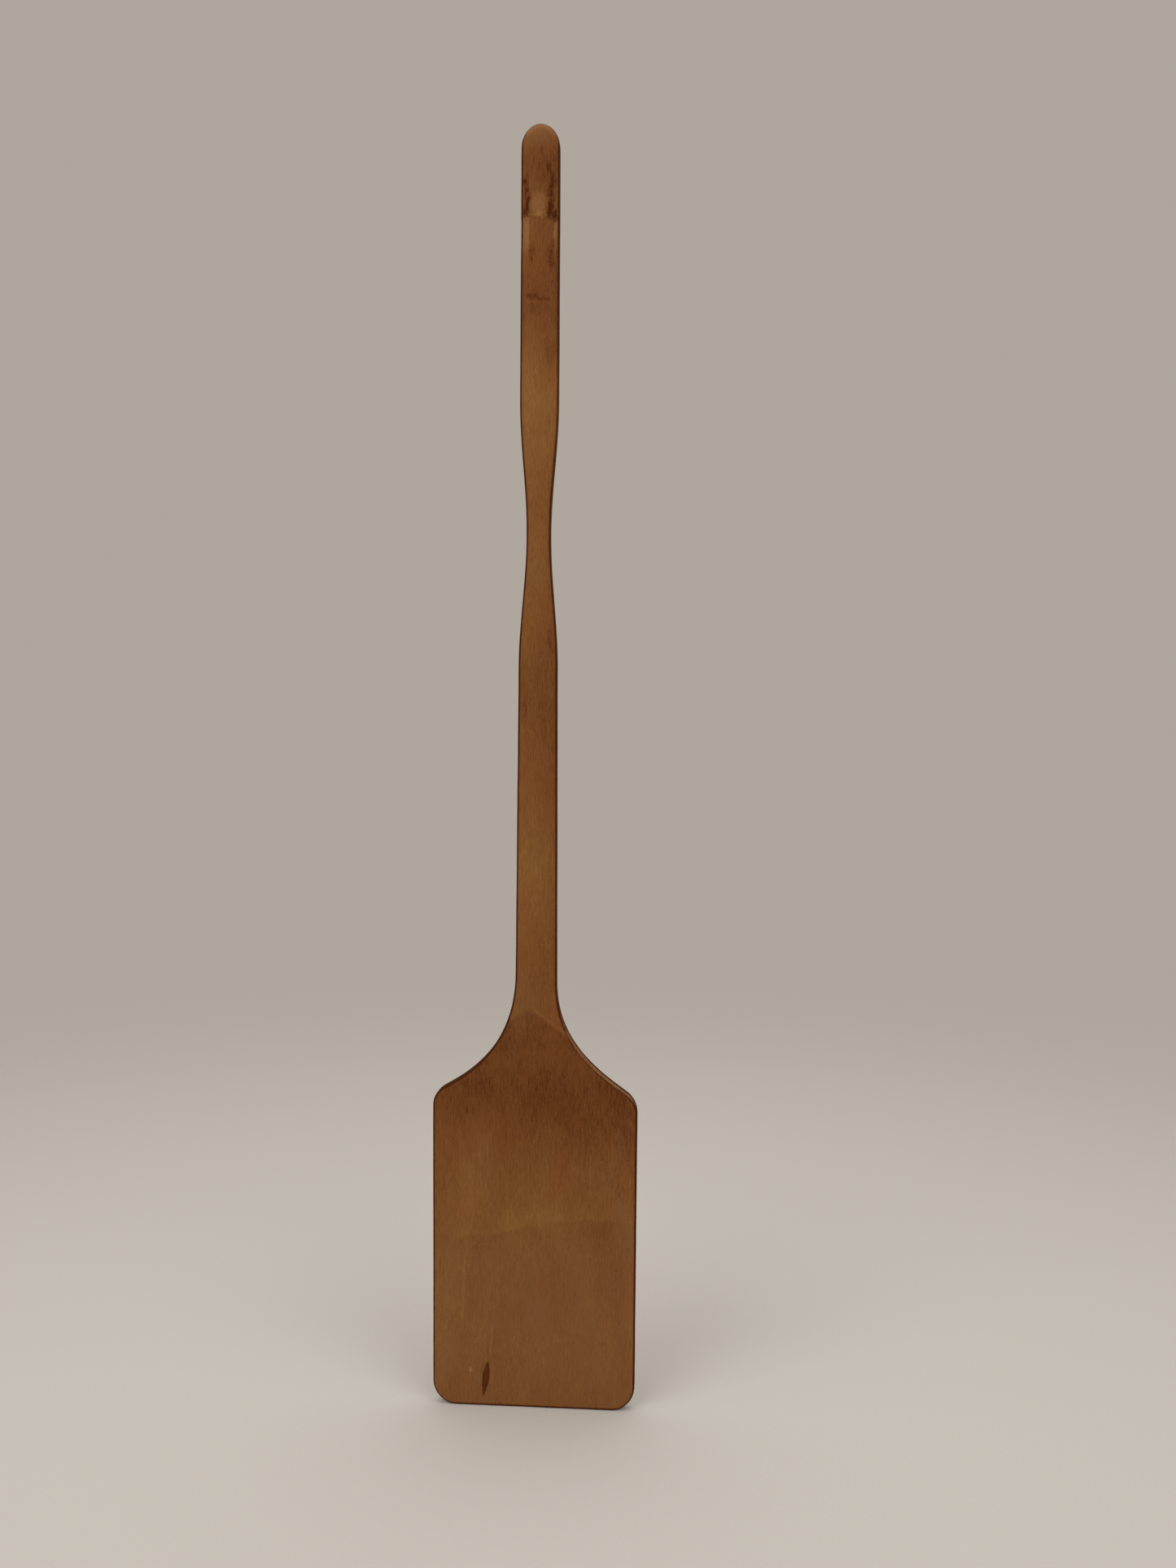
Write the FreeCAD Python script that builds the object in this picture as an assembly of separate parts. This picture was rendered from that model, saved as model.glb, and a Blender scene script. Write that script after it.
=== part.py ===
import FreeCAD, Part
import math
import os

# A small wooden paddle carved from one board: a flat oblong blade, hollow shoulders, a slim flat
# shaft with a waist, and a round-ended grip. A pocket of dark pitch lies in the blade's face.
# Millimetres. +Z runs up the length, the face looks along -Y and the back along +Y. The origin is
# the middle of the blade's bottom end, halfway through the board's thickness.

Vec = FreeCAD.Vector

# Driving dimensions
LENGTH = 560.0
THICKNESS = 9.0
BACK_Y = THICKNESS / 2
FRONT_Y = -THICKNESS / 2

# The blade's outline. The right shoulder sits a little lower than the left, as it was carved.
END_HALF = 44.1
END_CORNER_R = 10.5
SHOULDER_BREAK_Z = 141.0
SHOULDER_PULL = 20.0
LEFT_SIDE = {"side": -1, "x": -44.85, "shoulder_z": 136.5, "corner_r": 9.0, "slope_deg": 30.0,
             "neck_z": 190.0, "neck_pull": 23.7}
RIGHT_SIDE = {"side": 1, "x": 44.85, "shoulder_z": 134.6, "corner_r": 11.0, "slope_deg": 35.4,
              "neck_z": 185.6, "neck_pull": 19.9}

# The shaft's and the grip's outline
SHAFT_X = 0.4
NECK_HALF = 8.95
NECK_Z = 185.6
SHAFT_HALF = 8.4
SHAFT_EVEN_Z = 320.0
WAIST_Z = 381.0
WAIST_REACH = 59.0
WAIST_DEPTH = 3.2
TIP_RISE = 10.0
# Heights that the shaft's edge passes through, besides those of the waist and the ends
LOW_SHAFT_HEIGHTS = [230.0, 275.0]
GRIP_HEIGHTS = [480.0, 515.0]

# The blade's face, seen from the side: a long flat that thins to the end, and a scoop above it
END_FACE_Y = -1.0
SCOOP_FOOT_Y = -1.9
SCOOP_FOOT_Z = 125.0
SCOOP_R = 478.0
SCOOP_TOP_Z = 190.0

# Eased edges
FRONT_EASE = 3.0
BACK_EASE = 1.5
FACE_EASE = 1.0

# Two knife facets on the grip's front edges. They start at a stop cut and run out below it.
STOP_CUT_Z = 518.2
FACETS = [{"side": -1, "length": 14.0, "depth": 0.5}, {"side": 1, "length": 8.0, "depth": 0.35}]
FACET_TURN_DEG = 40.0

# The pitch pocket, a spindle that lies in the blade's face
PITCH_TOP = (-19.8, 19.6)
PITCH_FOOT = (-21.9, 4.2)
PITCH_HALF_WIDTH = 1.4

# How far cutting tools reach past the wood, and how near two lengths are when they count as equal
SPARE = 5.0
WIDE = 100.0
SAME = 1e-3


def on_board(x, z):
    """A point of the outline, on the board's back."""
    return Vec(x, BACK_Y, z)


def corner_arc(before, corner, after, radius):
    """Start, middle and end of the arc that rounds one corner of the outline."""
    to_before = (before - corner).normalize()
    to_after = (after - corner).normalize()
    half_angle = to_before.getAngle(to_after) / 2
    reach = radius / math.tan(half_angle)
    inward = (to_before + to_after).normalize()
    nearest = corner + inward * (radius / math.sin(half_angle) - radius)
    return corner + to_before * reach, nearest, corner + to_after * reach


def shaft_half_width(z):
    """Half the shaft's width: a slow taper above the neck, less the hollow of the waist."""
    taper = min(1.0, (z - NECK_Z) / (SHAFT_EVEN_Z - NECK_Z))
    half = NECK_HALF + (SHAFT_HALF - NECK_HALF) * taper
    away = min(1.0, abs(z - WAIST_Z) / WAIST_REACH)
    return half - WAIST_DEPTH * (1 + math.cos(math.pi * away)) / 2


def shaft_edge(side, z):
    """A point of the shaft's left (-1) or right (1) edge."""
    return on_board(SHAFT_X + side * shaft_half_width(z), z)


def blade_side(half):
    """One side of the blade, from the middle of its end, round both corners, up to the neck."""
    slope = math.radians(half["slope_deg"])
    along = Vec(-half["side"] * math.cos(slope), 0, math.sin(slope))
    end_middle = on_board(0, 0)
    end_corner = on_board(half["side"] * END_HALF, 0)
    shoulder = on_board(half["x"], half["shoulder_z"])
    shoulder_break = shoulder + along * ((SHOULDER_BREAK_Z - half["shoulder_z"]) / along.z)
    neck = shaft_edge(half["side"], half["neck_z"])
    low = corner_arc(end_middle, end_corner, shoulder, END_CORNER_R)
    high = corner_arc(end_corner, shoulder, shoulder_break, half["corner_r"])
    hollow = Part.BezierCurve()
    leave = shoulder_break + along * SHOULDER_PULL
    arrive = neck - Vec(0, 0, half["neck_pull"])
    hollow.setPoles([shoulder_break, leave, arrive, neck])
    return [
        Part.LineSegment(end_middle, low[0]).toShape(),
        Part.Arc(*low).toShape(),
        Part.LineSegment(low[2], high[0]).toShape(),
        Part.Arc(*high).toShape(),
        Part.LineSegment(high[2], shoulder_break).toShape(),
        hollow.toShape(),
    ]


def shaft_side(half):
    """One side of the shaft, from the neck, through the waist, to the foot of the tip."""
    heights = [half["neck_z"]] + LOW_SHAFT_HEIGHTS
    heights += [WAIST_Z + step * WAIST_REACH / 3 for step in range(-3, 4)]
    heights += GRIP_HEIGHTS + [LENGTH - TIP_RISE]
    curve = Part.BSplineCurve()
    points = [shaft_edge(half["side"], z) for z in heights]
    curve.interpolate(Points=points, InitialTangent=Vec(0, 0, 1), FinalTangent=Vec(0, 0, 1))
    return curve.toShape()


def tip_edge():
    """The half ellipse that closes the grip."""
    centre = on_board(SHAFT_X, LENGTH - TIP_RISE)
    ellipse = Part.Ellipse(centre + Vec(0, 0, TIP_RISE), centre + Vec(SHAFT_HALF, 0, 0), centre)
    return Part.Arc(ellipse, -math.pi / 2, math.pi / 2).toShape()


def board():
    """The outline, cut straight through a board of the full thickness, with its edges eased."""
    edges = blade_side(LEFT_SIDE) + blade_side(RIGHT_SIDE)
    edges += [shaft_side(LEFT_SIDE), shaft_side(RIGHT_SIDE), tip_edge()]
    outline = Part.Wire(Part.__sortEdges__(edges))
    solid = Part.Face(outline).extrude(Vec(0, -THICKNESS, 0))
    solid = solid.makeFillet(BACK_EASE, edges_in_plane(solid, BACK_Y))
    return solid.makeFillet(FRONT_EASE, edges_in_plane(solid, FRONT_Y))


def edges_in_plane(solid, y):
    """The solid's edges that lie in a plane parallel to the board."""
    def lies_in(edge):
        return abs(edge.BoundBox.YMin - y) < SAME and abs(edge.BoundBox.YMax - y) < SAME
    return [edge for edge in solid.Edges if lies_in(edge)]


def face_y(z):
    """How far forward the blade's face is at a height."""
    if z <= SCOOP_FOOT_Z:
        return END_FACE_Y + (SCOOP_FOOT_Y - END_FACE_Y) * z / SCOOP_FOOT_Z
    rise = z - SCOOP_FOOT_Z
    return SCOOP_FOOT_Y - SCOOP_R + math.sqrt(SCOOP_R ** 2 - rise ** 2)


def face_waste():
    """What the plane and the scoop take off the front of the blade."""
    ahead = FRONT_Y - SPARE
    profile = [Vec(-WIDE, END_FACE_Y, -SPARE), Vec(-WIDE, END_FACE_Y, 0)]
    profile += [Vec(-WIDE, face_y(z), z) for z in (SCOOP_FOOT_Z, SCOOP_TOP_Z)]
    profile += [Vec(-WIDE, ahead, SCOOP_TOP_Z), Vec(-WIDE, ahead, -SPARE)]
    halfway = (SCOOP_FOOT_Z + SCOOP_TOP_Z) / 2
    edges = []
    for start, end in zip(profile, profile[1:] + profile[:1]):
        if start.z == SCOOP_FOOT_Z:
            edges.append(Part.Arc(start, Vec(-WIDE, face_y(halfway), halfway), end).toShape())
        else:
            edges.append(Part.LineSegment(start, end).toShape())
    return Part.Face(Part.Wire(edges)).extrude(Vec(2 * WIDE, 0, 0))


def eased_face(solid):
    """Ease the sharp edge that planing leaves round the blade's face, up to the shoulders."""
    sharp = []
    for edge in solid.Edges:
        box = edge.BoundBox
        through_board = box.XLength < SAME and box.ZLength < SAME
        scoop_foot = box.ZLength < SAME and box.ZMin > 0
        if box.ZMax < SHOULDER_BREAK_Z + SAME and box.YMax < 0 and not through_board and not scoop_foot:
            sharp.append(edge)
    return solid.makeFillet(FACE_EASE, sharp)


def facet_waste(facet):
    """The chip that one knife cut takes off the grip's eased edge, deepest at the stop cut."""
    side = facet["side"]
    turn = math.radians(FACET_TURN_DEG)
    outward = Vec(side * math.cos(turn), -math.sin(turn), 0)
    across = Vec(side * math.sin(turn), math.cos(turn), 0)
    centre = Vec(SHAFT_X + side * (SHAFT_HALF - FRONT_EASE), FRONT_Y + FRONT_EASE, STOP_CUT_Z)
    start = centre - across * SPARE
    top_in = start + outward * (FRONT_EASE - facet["depth"])
    top_out = start + outward * (FRONT_EASE + SPARE)
    drop = facet["length"] * (facet["depth"] + SPARE) / facet["depth"]
    chip = Part.makePolygon([top_in, top_out, top_out - Vec(0, 0, drop), top_in])
    return Part.Face(chip).extrude(across * (2 * SPARE))


def pitch_spindle():
    """The pitch pocket's full spindle. The half that is in the wood is kept."""
    top = Vec(PITCH_TOP[0], face_y(PITCH_TOP[1]), PITCH_TOP[1])
    foot = Vec(PITCH_FOOT[0], face_y(PITCH_FOOT[1]), PITCH_FOOT[1])
    length = (foot - top).normalize()
    deepest = (top + foot) / 2 + Vec(0, PITCH_HALF_WIDTH, 0)
    flank = [Part.Arc(top, deepest, foot).toShape(), Part.LineSegment(foot, top).toShape()]
    return Part.Face(Part.Wire(flank)).revolve(top, length, 360)


def carved_paddle_and_pitch():
    """The whole carving, with its pocket, and the pitch that fills the pocket."""
    carving = eased_face(board().cut(face_waste()).Solids[0])
    for facet in FACETS:
        carving = carving.cut(facet_waste(facet))
    spindle = pitch_spindle()
    return carving.cut(spindle).Solids[0], carving.common(spindle).Solids[0]


os.makedirs("parts", exist_ok=True)
carved_paddle, pitch_streak = carved_paddle_and_pitch()
for node, solid in {"carved_paddle": carved_paddle, "pitch_streak": pitch_streak}.items():
    solid.exportStep("parts/" + node + ".step")
    print(node, solid.isValid(), round(solid.Volume, 1), "mm3")
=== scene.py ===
import math
import bmesh
import bpy
from mathutils import Matrix, Vector


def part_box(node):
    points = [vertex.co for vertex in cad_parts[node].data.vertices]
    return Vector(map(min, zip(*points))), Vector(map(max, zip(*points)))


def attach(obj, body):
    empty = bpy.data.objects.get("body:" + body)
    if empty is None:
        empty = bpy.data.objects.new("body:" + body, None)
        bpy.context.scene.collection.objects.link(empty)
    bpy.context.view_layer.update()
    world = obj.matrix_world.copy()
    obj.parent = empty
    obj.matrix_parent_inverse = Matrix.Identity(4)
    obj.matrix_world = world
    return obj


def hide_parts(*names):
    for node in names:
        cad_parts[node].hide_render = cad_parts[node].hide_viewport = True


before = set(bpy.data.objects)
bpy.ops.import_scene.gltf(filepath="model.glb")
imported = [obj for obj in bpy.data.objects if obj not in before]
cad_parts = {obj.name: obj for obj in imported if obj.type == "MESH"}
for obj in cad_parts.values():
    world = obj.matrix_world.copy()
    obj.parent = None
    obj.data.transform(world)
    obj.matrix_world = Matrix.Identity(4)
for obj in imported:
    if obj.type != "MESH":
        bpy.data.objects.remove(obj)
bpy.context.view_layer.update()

# The paddle stands on the end of its blade. Metres: +Z up its length, the face towards -Y.
LOW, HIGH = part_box("carved_paddle")
LENGTH = HIGH[2] - LOW[2]
FRONT_Y = LOW[1]
BACK_Y = HIGH[1]
SIDE_X = (HIGH[0] - LOW[0]) / 2

# Outline of the blade. The right shoulder was cut a little lower than the left.
END_HALF = 0.0441
END_CORNER_R = 0.0105
SHOULDER_BREAK_Z = 0.141
SHOULDER_PULL = 0.020
LEFT = {"side": -1, "shoulder_z": 0.1365, "corner_r": 0.009, "slope": 30.0,
        "neck_z": 0.190, "neck_pull": 0.0237}
RIGHT = {"side": 1, "shoulder_z": 0.1346, "corner_r": 0.011, "slope": 35.4,
         "neck_z": 0.1856, "neck_pull": 0.0199}

# Outline of the shaft and the grip
SHAFT_X = 0.0004
NECK_HALF = 0.00895
NECK_Z = 0.1856
SHAFT_HALF = 0.0084
SHAFT_EVEN_Z = 0.320
WAIST_Z = 0.381
WAIST_REACH = 0.059
WAIST_DEPTH = 0.0032
TIP_RISE = 0.010

# Steps of the outline's curves
CORNER_STEPS = 24
HOLLOW_STEPS = 60
SHAFT_STEPS = 180
TIP_STEP_DEGREES = 3
TIP_CORNER_DEGREES = 45

# Sizes that the carving tree takes as named inputs
CARVING = {
    "Face At End": -0.0010,
    "Face At Scoop": -0.0019,
    "Scoop Foot": 0.125,
    "Scoop Radius": 0.478,
    "Crown Slope": 0.075,
    "Crown Softness": 0.00014,
    "Crown Limit": 0.00115,
    "Blade Easing": 0.0009,
    "Shaft Easing": 0.0023,
    "Tip Easing": 0.0034,
    "Facet Widening": 0.0007,
    "Stop Cut": 0.5182,
    "Stop Cut Depth": 0.00022,
    "Tool Waves": 0.00012,
    "Edge Wander": 0.00016,
    "Pitch Pocket Gap": 0.00002,
}
LEFT_FACET = {"side": -1, "foot": 0.4990, "full": 0.5070, "cut": 1.0}
RIGHT_FACET = {"side": 1, "foot": 0.5080, "full": 0.5120, "cut": 0.6}
FACET_PITCH = 0.6
RIDGE_LOW_X = -0.0026
RIDGE_HIGH_X = -0.0010
RIDGE_TURN_Z = (0.180, 0.260)
CROWN_BLEND = 0.0003
EASING_GROWS_Z = (0.145, 0.200)
TIP_EASING_Z = (LENGTH - 0.016, LENGTH - 0.004)
STOP_CUT_RUN = 0.014
SCALLOP_REACH = 0.0050
# Waves per metre of the hand's unevenness
SCALLOP_WAVES = (420.0, 0.0, 0.0)
FACE_WAVES = (70.0, 0.0, 22.0)
BACK_WAVES = (60.0, 0.0, 18.0)
EDGE_WAVES = (60.0, 0.0, 60.0)

# The carved sheet's columns and rows. Rows crowd together at the stop cut, and bend only near the ends.
COLUMNS = 66
ROWS = 470
STOP_CUT_ALONG = 0.9335
STOP_CUT_SPREAD = 0.022
STOP_CUT_CROWDING = 0.75
BOTTOM_BEND_TOP = 0.18
TIP_BEND_FOOT = 0.95
EDGE_STEPS = 5
WALL_STEPS = 3
MERGE_DISTANCE = 0.00001

# The pocket of pitch in the face of the blade
PITCH_TOP = (-0.0198, 0.0196)
PITCH_FOOT = (-0.0219, 0.0042)
PITCH_HALF_WIDTH = 0.0014
PITCH_FACETS = 40
PITCH_KNOTS = (2.0, 2.0, 7.0)
PITCH_KNOT_DEPTH = 0.8
PITCH_TOP_SWELL = 0.22
PITCH_GIRTH = 0.95
PITCH_GRAIN = (2600.0, 0.0, 500.0)


class Wire:
    """One output of a node. Arithmetic on it lays Math nodes."""

    def __init__(self, bench, socket):
        self.bench = bench
        self.socket = socket

    def other(self, name):
        """Another output of the same node."""
        outputs = self.socket.node.outputs
        return Wire(self.bench, next(out for out in outputs if out.enabled and out.name == name))

    def __add__(self, other):
        return self.bench.maths("ADD", self, other)

    def __radd__(self, other):
        return self.bench.maths("ADD", other, self)

    def __sub__(self, other):
        return self.bench.maths("SUBTRACT", self, other)

    def __rsub__(self, other):
        return self.bench.maths("SUBTRACT", other, self)

    def __mul__(self, other):
        return self.bench.maths("MULTIPLY", self, other)

    def __truediv__(self, other):
        return self.bench.maths("DIVIDE", self, other)

    def __pow__(self, power):
        return self.bench.maths("POWER", self, power)

    def __gt__(self, other):
        return self.bench.maths("GREATER_THAN", self, other)

    def __lt__(self, other):
        return self.bench.maths("LESS_THAN", self, other)


class Bench:
    """A node tree being laid out."""

    def __init__(self, tree):
        self.tree = tree
        tree.nodes.clear()

    def node(self, kind, settings=None, values=None, out=None):
        """Adds a node, sets its settings and then its sockets, and hands back one of its outputs."""
        made = self.tree.nodes.new(kind)
        for name, setting in (settings or {}).items():
            setattr(made, name, setting)
        for name, value in (values or {}).items():
            self.plug(made, name, value)
        shown = [socket for socket in made.outputs if socket.enabled and out in (None, socket.name)]
        return Wire(self, shown[0]) if shown else made

    def plug(self, made, name, value):
        """Sets or links one input, found by its place or its name."""
        if isinstance(name, int):
            socket = made.inputs[name]
        else:
            socket = next(s for s in made.inputs if s.enabled and s.name == name)
        for one in value if isinstance(value, list) else [value]:
            if isinstance(one, Wire):
                self.tree.links.new(one.socket, socket)
            else:
                socket.default_value = one

    def maths(self, operation, *terms):
        return self.node("ShaderNodeMath", {"operation": operation}, dict(enumerate(terms)))

    def vector(self, operation, *terms, **named):
        values = dict(enumerate(terms)) | named
        return self.node("ShaderNodeVectorMath", {"operation": operation}, values)

    def blend(self, factor, first, second):
        """Mixes two vectors."""
        values = {"Factor": factor, "A": first, "B": second}
        return self.node("ShaderNodeMix", {"data_type": "VECTOR"}, values)

    def ramp(self, value, low, high, start=0.0, end=1.0, how="SMOOTHSTEP"):
        """Goes from start to end while value goes from low to high."""
        values = {"Value": value, "From Min": low, "From Max": high, "To Min": start, "To Max": end}
        return self.node("ShaderNodeMapRange", {"interpolation_type": how}, values)

    def rise(self, value, limits):
        """From 0 to 1 between two limits."""
        return self.ramp(value, *limits)

    def fall(self, value, limits):
        """From 1 to 0 between two limits."""
        return self.ramp(value, *limits, 1.0, 0.0)

    def length(self, across, up):
        return self.maths("SQRT", across * across + up * up)

    def distance(self, value, target):
        return self.maths("ABSOLUTE", value - target)

    def stored(self, name):
        """A value that the carving stored on the mesh, for a material to read."""
        return self.node("ShaderNodeAttribute", {"attribute_name": name}, out="Fac")

    def parts(self, vector):
        """The x, y and z of a vector."""
        x = self.node("ShaderNodeSeparateXYZ", values={"Vector": vector}, out="X")
        return x, x.other("Y"), x.other("Z")

    def noise(self, place, scales, seed, detail=2.0):
        """Smooth noise from -0.5 to 0.5, with its own number of waves along each axis."""
        spread = self.vector("MULTIPLY", place, scales)
        values = {"Vector": spread, "W": seed, "Scale": 1.0, "Detail": detail, "Roughness": 0.5}
        return self.node("ShaderNodeTexNoise", {"noise_dimensions": "4D"}, values) - 0.5

    def joined(self, x, y, z):
        return self.node("ShaderNodeCombineXYZ", values={"X": x, "Y": y, "Z": z})


# ---------------------------------------------------------------- outline

def spot(x, z):
    return Vector((x, 0.0, z))


def rounded_corner(before, corner, after, radius):
    """Points round one corner of the outline, from one straight to the next."""
    to_before = (before - corner).normalized()
    to_after = (after - corner).normalized()
    half_angle = to_before.angle(to_after) / 2
    reach = radius / math.tan(half_angle)
    centre = corner + (to_before + to_after).normalized() * radius / math.sin(half_angle)
    start = corner + to_before * reach - centre
    end = corner + to_after * reach - centre
    return [centre + start.slerp(end, step / CORNER_STEPS) * radius for step in range(CORNER_STEPS + 1)]


def hollow_curve(start, leave, arrive, end):
    """Points along the hollow of a shoulder, without its first."""
    points = []
    for step in range(1, HOLLOW_STEPS + 1):
        t = step / HOLLOW_STEPS
        back = 1 - t
        near = start * back ** 3 + leave * 3 * back ** 2 * t
        points.append(near + arrive * 3 * back * t ** 2 + end * t ** 3)
    return points


def shaft_half_width(z):
    """Half the shaft's width: a slow taper above the neck, less the hollow of the waist."""
    taper = min(1.0, (z - NECK_Z) / (SHAFT_EVEN_Z - NECK_Z))
    half = NECK_HALF + (SHAFT_HALF - NECK_HALF) * taper
    away = min(1.0, abs(z - WAIST_Z) / WAIST_REACH)
    return half - WAIST_DEPTH * (1 + math.cos(math.pi * away)) / 2


def shaft_edge(side, z):
    return spot(SHAFT_X + side * shaft_half_width(z), z)


def tip_point(degrees):
    """A point of the tip's half ellipse, 0 at the top and 90 at its right foot."""
    turn = math.radians(degrees)
    foot_z = LENGTH - TIP_RISE
    return spot(SHAFT_X + SHAFT_HALF * math.sin(turn), foot_z + TIP_RISE * math.cos(turn))


def end_corner(half):
    """The rounded bottom corner of the blade, from the end's straight up to the side."""
    side = half["side"]
    shoulder = spot(side * SIDE_X, half["shoulder_z"])
    return rounded_corner(spot(0, 0), spot(side * END_HALF, 0), shoulder, END_CORNER_R)


def side_edge(half):
    """One long edge, from halfway round the bottom corner to halfway round the tip."""
    side = half["side"]
    slope = math.radians(half["slope"])
    along = spot(-side * math.cos(slope), math.sin(slope))
    foot = spot(side * END_HALF, 0)
    shoulder = spot(side * SIDE_X, half["shoulder_z"])
    shoulder_break = shoulder + along * ((SHOULDER_BREAK_Z - half["shoulder_z"]) / along.z)
    neck = shaft_edge(side, half["neck_z"])
    corner = end_corner(half)
    points = corner[len(corner) // 2:]
    points += rounded_corner(foot, shoulder, shoulder_break, half["corner_r"])
    points.append(shoulder_break)
    leave = shoulder_break + along * SHOULDER_PULL
    points += hollow_curve(shoulder_break, leave, neck - spot(0, half["neck_pull"]), neck)
    rise = LENGTH - TIP_RISE - half["neck_z"]
    points += [shaft_edge(side, half["neck_z"] + rise * step / SHAFT_STEPS) for step in range(1, SHAFT_STEPS)]
    turns = range(90, TIP_CORNER_DEGREES - 1, -TIP_STEP_DEGREES)
    points += [tip_point(side * degrees) for degrees in turns]
    return points


def outline_curve():
    """The outline as four lines: the bottom end, the tip, the left edge and the right edge."""
    left_corner = end_corner(LEFT)
    right_corner = end_corner(RIGHT)
    half_way = len(left_corner) // 2
    bottom = left_corner[half_way::-1] + right_corner[:half_way + 1]
    turns = range(-TIP_CORNER_DEGREES, TIP_CORNER_DEGREES + 1, TIP_STEP_DEGREES)
    tip = [tip_point(degrees) for degrees in turns]
    curve = bpy.data.curves.new("paddle_outline", "CURVE")
    curve.dimensions = "3D"
    for points in (bottom, tip, side_edge(LEFT), side_edge(RIGHT)):
        line = curve.splines.new("POLY")
        line.points.add(len(points) - 1)
        for place, point in zip(line.points, points):
            place.co = (*point, 1.0)
    outline = bpy.data.objects.new("paddle_outline", curve)
    bpy.context.collection.objects.link(outline)
    return outline


BOTTOM_LINE, TIP_LINE, LEFT_LINE, RIGHT_LINE = range(4)
FACE_AT_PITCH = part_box("pitch_streak")[0][1]
PITCH = {"Front": FACE_AT_PITCH - 0.00002, "Roughness": 0.00006}


# ---------------------------------------------------------------- carving

def new_tree(name, sizes):
    """An empty geometry tree with named sizes: its bench, the geometry going in and the sizes."""
    tree = bpy.data.node_groups.new(name, "GeometryNodeTree")
    tree.interface.new_socket("Geometry", in_out="INPUT", socket_type="NodeSocketGeometry")
    tree.interface.new_socket("Geometry", in_out="OUTPUT", socket_type="NodeSocketGeometry")
    for label, size in sizes.items():
        tree.interface.new_socket(label, in_out="INPUT", socket_type="NodeSocketFloat").default_value = size
    bench = Bench(tree)
    given = bench.node("NodeGroupInput")
    return bench, given.other("Geometry"), {label: given.other(label) for label in sizes}


def finished(bench, geometry, material):
    """Ends a tree: smooth shading, one real mesh and its material."""
    geometry = bench.node("GeometryNodeSetShadeSmooth", values={"Geometry": geometry})
    geometry = bench.node("GeometryNodeRealizeInstances", values={"Geometry": geometry})
    geometry = bench.node("GeometryNodeSetMaterial", values={"Geometry": geometry, "Material": material})
    bench.node("NodeGroupOutput", values={"Geometry": geometry})
    return bench.tree


def pitch_spindle(bench, swell):
    """The pitch as a spindle lying half in the face, swollen a little when it is to cut the pocket."""
    half_length = math.dist(PITCH_TOP, PITCH_FOOT) / 2
    lean = math.atan2(PITCH_TOP[0] - PITCH_FOOT[0], PITCH_TOP[1] - PITCH_FOOT[1])
    middle = [(top + foot) / 2 for top, foot in zip(PITCH_TOP, PITCH_FOOT)]
    values = {"Segments": PITCH_FACETS, "Rings": PITCH_FACETS, "Radius": 1.0}
    ball = bench.node("GeometryNodeMeshUVSphere", values=values)
    here = bench.node("GeometryNodeInputPosition")
    x, y, z = bench.parts(here)
    thin = bench.maths("SQRT", bench.maths("MAXIMUM", 1.0 - z * z, 0.0))
    wobble = bench.noise(here, PITCH_KNOTS, 21.0) * PITCH_KNOT_DEPTH + z * PITCH_TOP_SWELL + PITCH_GIRTH
    girth = thin * wobble * PITCH_HALF_WIDTH + swell
    shaped = bench.joined(x * girth, y * girth, z * (swell + half_length))
    ball = bench.node("GeometryNodeSetPosition", values={"Geometry": ball, "Position": shaped})
    values = {"Geometry": ball, "Rotation": (0.0, lean, 0.0)}
    values["Translation"] = (middle[0], FACE_AT_PITCH, middle[1])
    return bench.node("GeometryNodeTransform", values=values)


def pitch_tree(material):
    """Geometry nodes for the pitch: the spindle with its front dressed off flush with the blade's face."""
    bench, _, size = new_tree("pitch_streak", PITCH)
    ball = pitch_spindle(bench, 0.0)
    here = bench.node("GeometryNodeInputPosition")
    x, y, z = bench.parts(here)
    front = size["Front"] + bench.noise(here, PITCH_GRAIN, 23.0) * size["Roughness"]
    dressed = bench.joined(x, bench.maths("MAXIMUM", y, front), z)
    ball = bench.node("GeometryNodeSetPosition", values={"Geometry": ball, "Position": dressed})
    return finished(bench, ball, material)


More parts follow.
